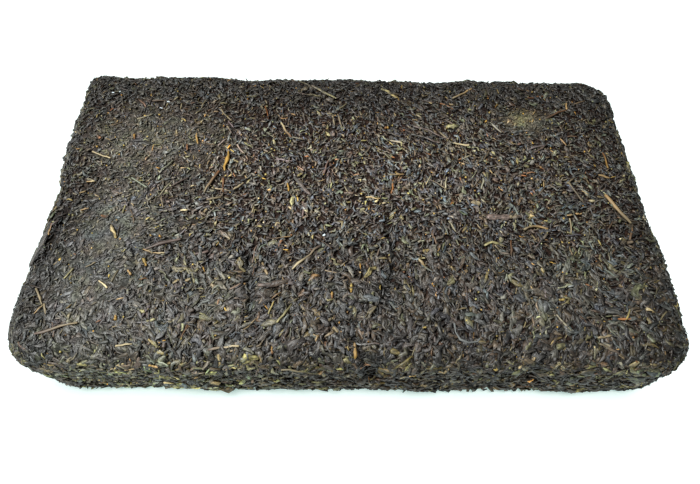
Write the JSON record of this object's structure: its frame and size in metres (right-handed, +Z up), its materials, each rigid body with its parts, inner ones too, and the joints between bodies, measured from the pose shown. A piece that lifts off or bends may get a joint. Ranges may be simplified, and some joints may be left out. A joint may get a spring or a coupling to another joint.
{
  "type": "fu brick tea",
  "caption": "Rectangular brick of dark pressed tea leaves with worn round corners and edges; a slab is pried off and brewed.",
  "frame": {"origin": "middle of the flat base that the brick rests on", "axes": "+X along the length, +Y across the width towards the squarer long edge, +Z up through the thickness"},
  "size_m": [0.35, 0.202, 0.05],
  "materials": {
    "tea_leaf": "dull dry leaf, charcoal and olive brown, with a faint waxy sheen",
    "tea_stem": "dry woody stem, honey to brown, satin"
  },
  "bodies": {
    "root": {"tea_brick": "tea_leaf"}
  },
  "joints": []
}
